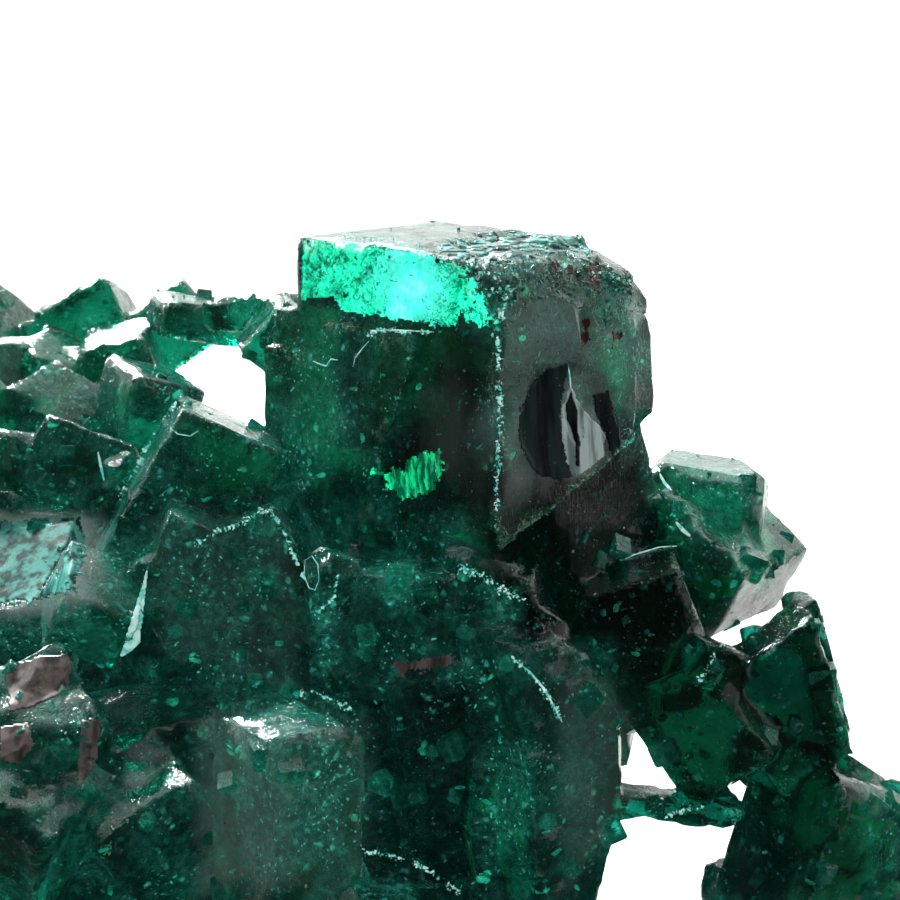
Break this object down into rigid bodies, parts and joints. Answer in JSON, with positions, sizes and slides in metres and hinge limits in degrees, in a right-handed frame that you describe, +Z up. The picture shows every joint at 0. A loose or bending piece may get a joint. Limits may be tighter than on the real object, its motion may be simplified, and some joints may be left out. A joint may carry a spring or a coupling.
{
  "type": "dioptase crystal cluster",
  "caption": "Cluster of emerald-green rhombohedral crystals grown together, with one tall square block, a ridge behind and an arched arm, cut flat below.",
  "frame": {"origin": "middle of the footprint's box, on the flat base", "axes": "+Z up from the flat base, +X along the length towards the arm, -Y towards the side with the tall block's near edge"},
  "size_m": [0.029, 0.0194, 0.0201],
  "materials": {
    "dioptase": "glassy on the crystal faces, finely etched and crumbled along the edges"
  },
  "bodies": {
    "root": {"dioptase_cluster": "dioptase"}
  },
  "joints": []
}
